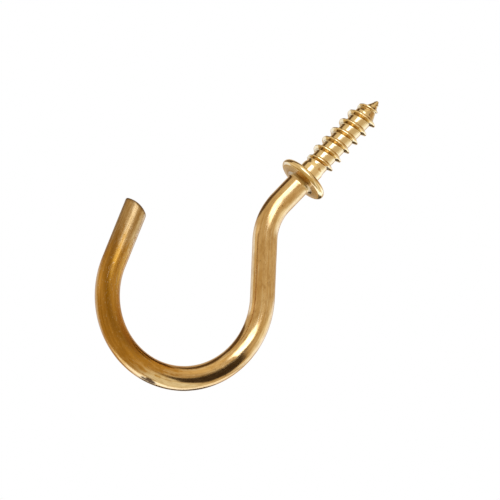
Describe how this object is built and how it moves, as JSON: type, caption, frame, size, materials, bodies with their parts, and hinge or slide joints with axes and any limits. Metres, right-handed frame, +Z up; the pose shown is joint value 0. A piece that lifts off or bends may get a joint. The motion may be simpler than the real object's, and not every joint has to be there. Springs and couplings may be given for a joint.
{
  "type": "cup hook",
  "caption": "Brass cup hook bent from one wire: open round bow, offset neck, collar and a wood-screw thread for screwing under a shelf.",
  "frame": {"origin": "centre of the collar's seat, where the screw leaves it", "axes": "+Z up along the screw into the shelf, the bow hangs below in the XZ plane, and the open tip is on the -X side"},
  "size_m": [0.0275, 0.007, 0.0503],
  "materials": {
    "brass": "bright drawn brass, lightly scuffed"
  },
  "bodies": {
    "root": {"cup_hook": "brass"}
  },
  "joints": []
}
